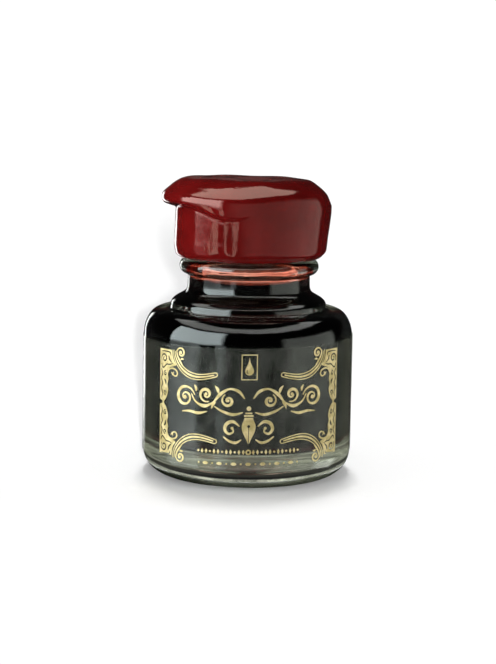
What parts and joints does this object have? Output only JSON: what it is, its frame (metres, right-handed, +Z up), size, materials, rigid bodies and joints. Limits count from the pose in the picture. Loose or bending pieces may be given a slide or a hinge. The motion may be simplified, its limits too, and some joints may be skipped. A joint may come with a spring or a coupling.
{
  "type": "ink bottle",
  "caption": "Round squat glass ink bottle with a two-step shoulder, a clear wrap label printed in gold foil, and a wax-dipped screw cap that unscrews.",
  "frame": {"origin": "centre of the base, on the plane the bottle rests on", "axes": "+Z up along the bottle's axis, the middle of the label faces -Y, and the wax lip hangs towards -X"},
  "size_m": [0.0444, 0.0443, 0.0624],
  "materials": {
    "glass": "clear moulded glass with a faint green tint",
    "ink": "deep red ink, near black in the bulk and coral red where it is thin",
    "label_film": "clear satin film",
    "gold_foil": "pale gold hot-stamped foil",
    "cap_plastic": "black moulded plastic",
    "board": "pulp board",
    "liner_foil": "foil facing",
    "wax": "glossy dark red sealing wax, dipped"
  },
  "bodies": {
    "glass": {"bottle": "glass", "ink": "ink", "label_adhesive": "label_film", "label_film": "label_film", "foil_frame": "gold_foil", "foil_emblem": "gold_foil", "foil_title": "gold_foil", "foil_footer": "gold_foil"},
    "liner": {"liner_board": "board", "liner_facing": "liner_foil"},
    "cap": {"cap_shell": "cap_plastic", "wax_hood": "wax"}
  },
  "joints": [
    {"name": "cap_rise", "type": "slide", "parent": "glass", "child": "liner", "axis": [0, 0, 1], "range_m": [0, 0.01376]},
    {"name": "cap_turn", "type": "hinge", "parent": "liner", "child": "cap", "pos_m": [0, 0, 0.058], "axis": [0, 0, 1], "range_deg": [0, 1170]}
  ],
  "couplings": [
    {"joint": "cap_rise", "follows": "cap_turn", "m_per_rad": 0.00067322}
  ]
}
